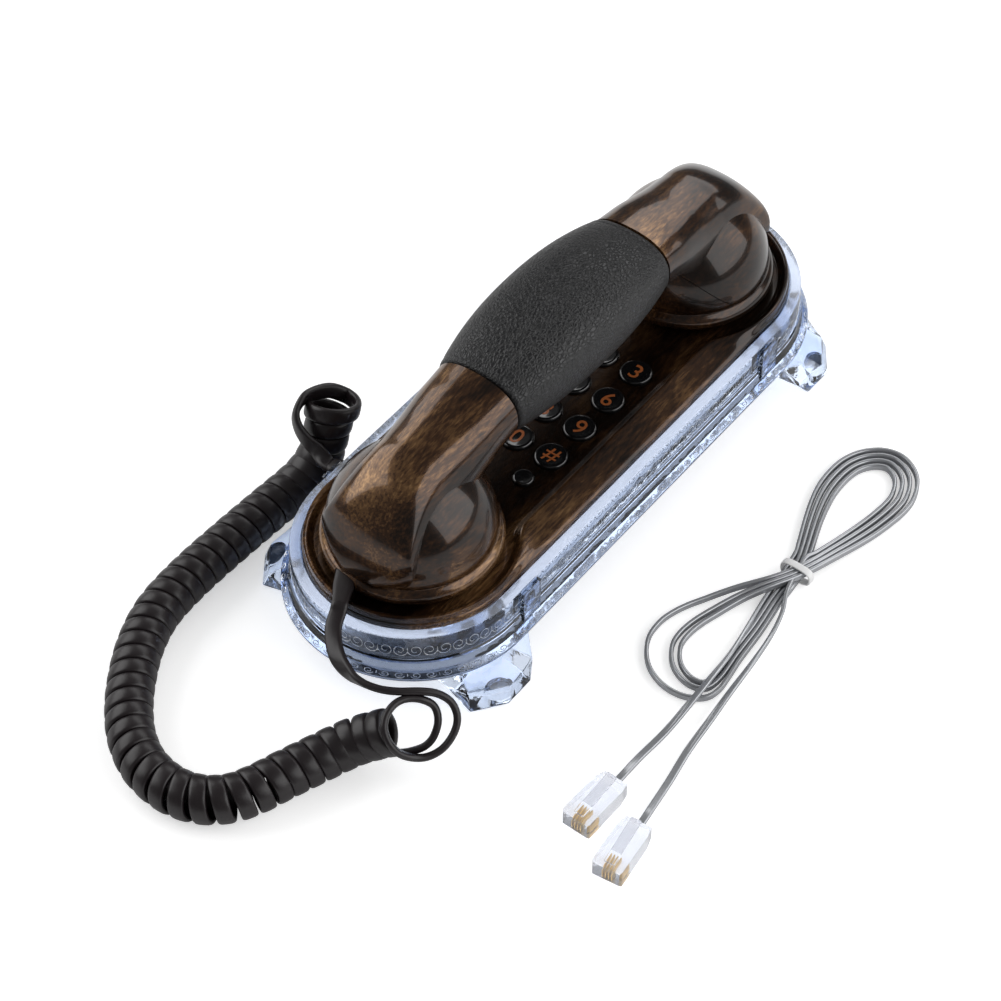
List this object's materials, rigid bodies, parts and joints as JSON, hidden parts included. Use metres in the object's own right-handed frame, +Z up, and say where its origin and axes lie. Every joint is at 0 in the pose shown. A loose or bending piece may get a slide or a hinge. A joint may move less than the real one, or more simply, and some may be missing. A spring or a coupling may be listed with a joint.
{
  "type": "slimline wall telephone",
  "caption": "Slim corded telephone lying on four splayed feet: wood-grain body in a clear blue cradle, handset on hook, round keys, curly cord and a tied line cord.",
  "frame": {"origin": "on the standing surface, under the middle of the base", "axes": "+Y along the base towards the earpiece, +X towards the side with the third key column, +Z up"},
  "size_m": [0.1762, 0.2888, 0.0784],
  "materials": {
    "dark_wood_grain_plastic": "glossy dark walnut grain film over moulded plastic",
    "clear_blue_styrene": "clear pale blue moulded plastic, glossy",
    "grey_rubber": "matte",
    "black_plastic": "matte moulded",
    "gloss_black_plastic": "glossy",
    "grey_silicone": "matte silicone",
    "circuit_board_green": "solder mask",
    "brass": "satin",
    "zinc_plated_steel": "zinc plated",
    "black_leatherette": "fine grained padded leatherette",
    "black_brown_cord": "satin vinyl",
    "silver_grey_cord": "satin vinyl",
    "clear_polycarbonate": "clear",
    "white_plastic_tie": "matte"
  },
  "bodies": {
    "base": {"base_cord_relief": "black_brown_cord", "base_screw_1": "zinc_plated_steel", "base_screw_2": "zinc_plated_steel", "base_screw_3": "zinc_plated_steel", "base_screw_4": "zinc_plated_steel", "bottom_cover": "black_plastic", "circuit_board": "circuit_board_green", "clear_cradle": "clear_blue_styrene", "curly_cord_base_tail": "black_brown_cord", "curly_cord_coil": "black_brown_cord", "curly_cord_handset_tail": "black_brown_cord", "foot_ear_left": "clear_blue_styrene", "foot_ear_right": "clear_blue_styrene", "foot_mouth_left": "clear_blue_styrene", "foot_mouth_right": "clear_blue_styrene", "foot_pad_ear_left": "grey_rubber", "foot_pad_ear_right": "grey_rubber", "foot_pad_mouth_left": "grey_rubber", "foot_pad_mouth_right": "grey_rubber", "hook_leaf_spring": "zinc_plated_steel", "hook_switch": "black_plastic", "key_mat": "grey_silicone", "line_cord_hank": "silver_grey_cord", "line_cord_tail_a": "silver_grey_cord", "line_cord_tail_b": "silver_grey_cord", "line_cord_tie": "white_plastic_tie", "line_jack": "black_plastic", "line_plug_a": "clear_polycarbonate", "line_plug_b": "clear_polycarbonate", "ringer_disc": "brass", "top_cover": "dark_wood_grain_plastic"},
    "handset": {"grip_sleeve": "black_leatherette", "handset_cord_relief": "black_brown_cord", "handset_lower_shell": "dark_wood_grain_plastic", "handset_screw_ear": "zinc_plated_steel", "handset_screw_mouth": "zinc_plated_steel", "handset_upper_shell": "dark_wood_grain_plastic", "handset_weight": "zinc_plated_steel", "microphone_cap": "black_plastic", "microphone_capsule": "grey_rubber", "receiver_cap": "black_plastic", "receiver_capsule": "zinc_plated_steel"},
    "hook": {"hook_plunger": "gloss_black_plastic"},
    "key_0_cap": {"key_0": "gloss_black_plastic"},
    "key_1_cap": {"key_1": "gloss_black_plastic"},
    "key_2_cap": {"key_2": "gloss_black_plastic"},
    "key_3_cap": {"key_3": "gloss_black_plastic"},
    "key_4_cap": {"key_4": "gloss_black_plastic"},
    "key_5_cap": {"key_5": "gloss_black_plastic"},
    "key_6_cap": {"key_6": "gloss_black_plastic"},
    "key_7_cap": {"key_7": "gloss_black_plastic"},
    "key_8_cap": {"key_8": "gloss_black_plastic"},
    "key_9_cap": {"key_9": "gloss_black_plastic"},
    "key_flash_cap": {"key_flash": "gloss_black_plastic"},
    "key_hash_cap": {"key_hash": "gloss_black_plastic"},
    "key_redial_cap": {"key_redial": "gloss_black_plastic"},
    "key_star_cap": {"key_star": "gloss_black_plastic"}
  },
  "joints": [
    {"name": "handset_lift", "type": "slide", "parent": "base", "child": "handset", "axis": [0, 0, 1], "range_m": [0, 0.08]},
    {"name": "hook_slide", "type": "slide", "parent": "base", "child": "hook", "axis": [0, 0, 1], "range_m": [0, 0.003]},
    {"name": "key_0_press", "type": "slide", "parent": "base", "child": "key_0_cap", "axis": [0, 0, -1], "range_m": [0, 0.0015], "stiffness_N_per_m": 300},
    {"name": "key_1_press", "type": "slide", "parent": "base", "child": "key_1_cap", "axis": [0, 0, -1], "range_m": [0, 0.0015], "stiffness_N_per_m": 300},
    {"name": "key_2_press", "type": "slide", "parent": "base", "child": "key_2_cap", "axis": [0, 0, -1], "range_m": [0, 0.0015], "stiffness_N_per_m": 300},
    {"name": "key_3_press", "type": "slide", "parent": "base", "child": "key_3_cap", "axis": [0, 0, -1], "range_m": [0, 0.0015], "stiffness_N_per_m": 300},
    {"name": "key_4_press", "type": "slide", "parent": "base", "child": "key_4_cap", "axis": [0, 0, -1], "range_m": [0, 0.0015], "stiffness_N_per_m": 300},
    {"name": "key_5_press", "type": "slide", "parent": "base", "child": "key_5_cap", "axis": [0, 0, -1], "range_m": [0, 0.0015], "stiffness_N_per_m": 300},
    {"name": "key_6_press", "type": "slide", "parent": "base", "child": "key_6_cap", "axis": [0, 0, -1], "range_m": [0, 0.0015], "stiffness_N_per_m": 300},
    {"name": "key_7_press", "type": "slide", "parent": "base", "child": "key_7_cap", "axis": [0, 0, -1], "range_m": [0, 0.0015], "stiffness_N_per_m": 300},
    {"name": "key_8_press", "type": "slide", "parent": "base", "child": "key_8_cap", "axis": [0, 0, -1], "range_m": [0, 0.0015], "stiffness_N_per_m": 300},
    {"name": "key_9_press", "type": "slide", "parent": "base", "child": "key_9_cap", "axis": [0, 0, -1], "range_m": [0, 0.0015], "stiffness_N_per_m": 300},
    {"name": "key_flash_press", "type": "slide", "parent": "base", "child": "key_flash_cap", "axis": [0, 0, -1], "range_m": [0, 0.0015], "stiffness_N_per_m": 300},
    {"name": "key_hash_press", "type": "slide", "parent": "base", "child": "key_hash_cap", "axis": [0, 0, -1], "range_m": [0, 0.0015], "stiffness_N_per_m": 300},
    {"name": "key_redial_press", "type": "slide", "parent": "base", "child": "key_redial_cap", "axis": [0, 0, -1], "range_m": [0, 0.0015], "stiffness_N_per_m": 300},
    {"name": "key_star_press", "type": "slide", "parent": "base", "child": "key_star_cap", "axis": [0, 0, -1], "range_m": [0, 0.0015], "stiffness_N_per_m": 300}
  ],
  "couplings": [
    {"joint": "hook_slide", "follows": "handset_lift", "ratio": 0.0375}
  ]
}
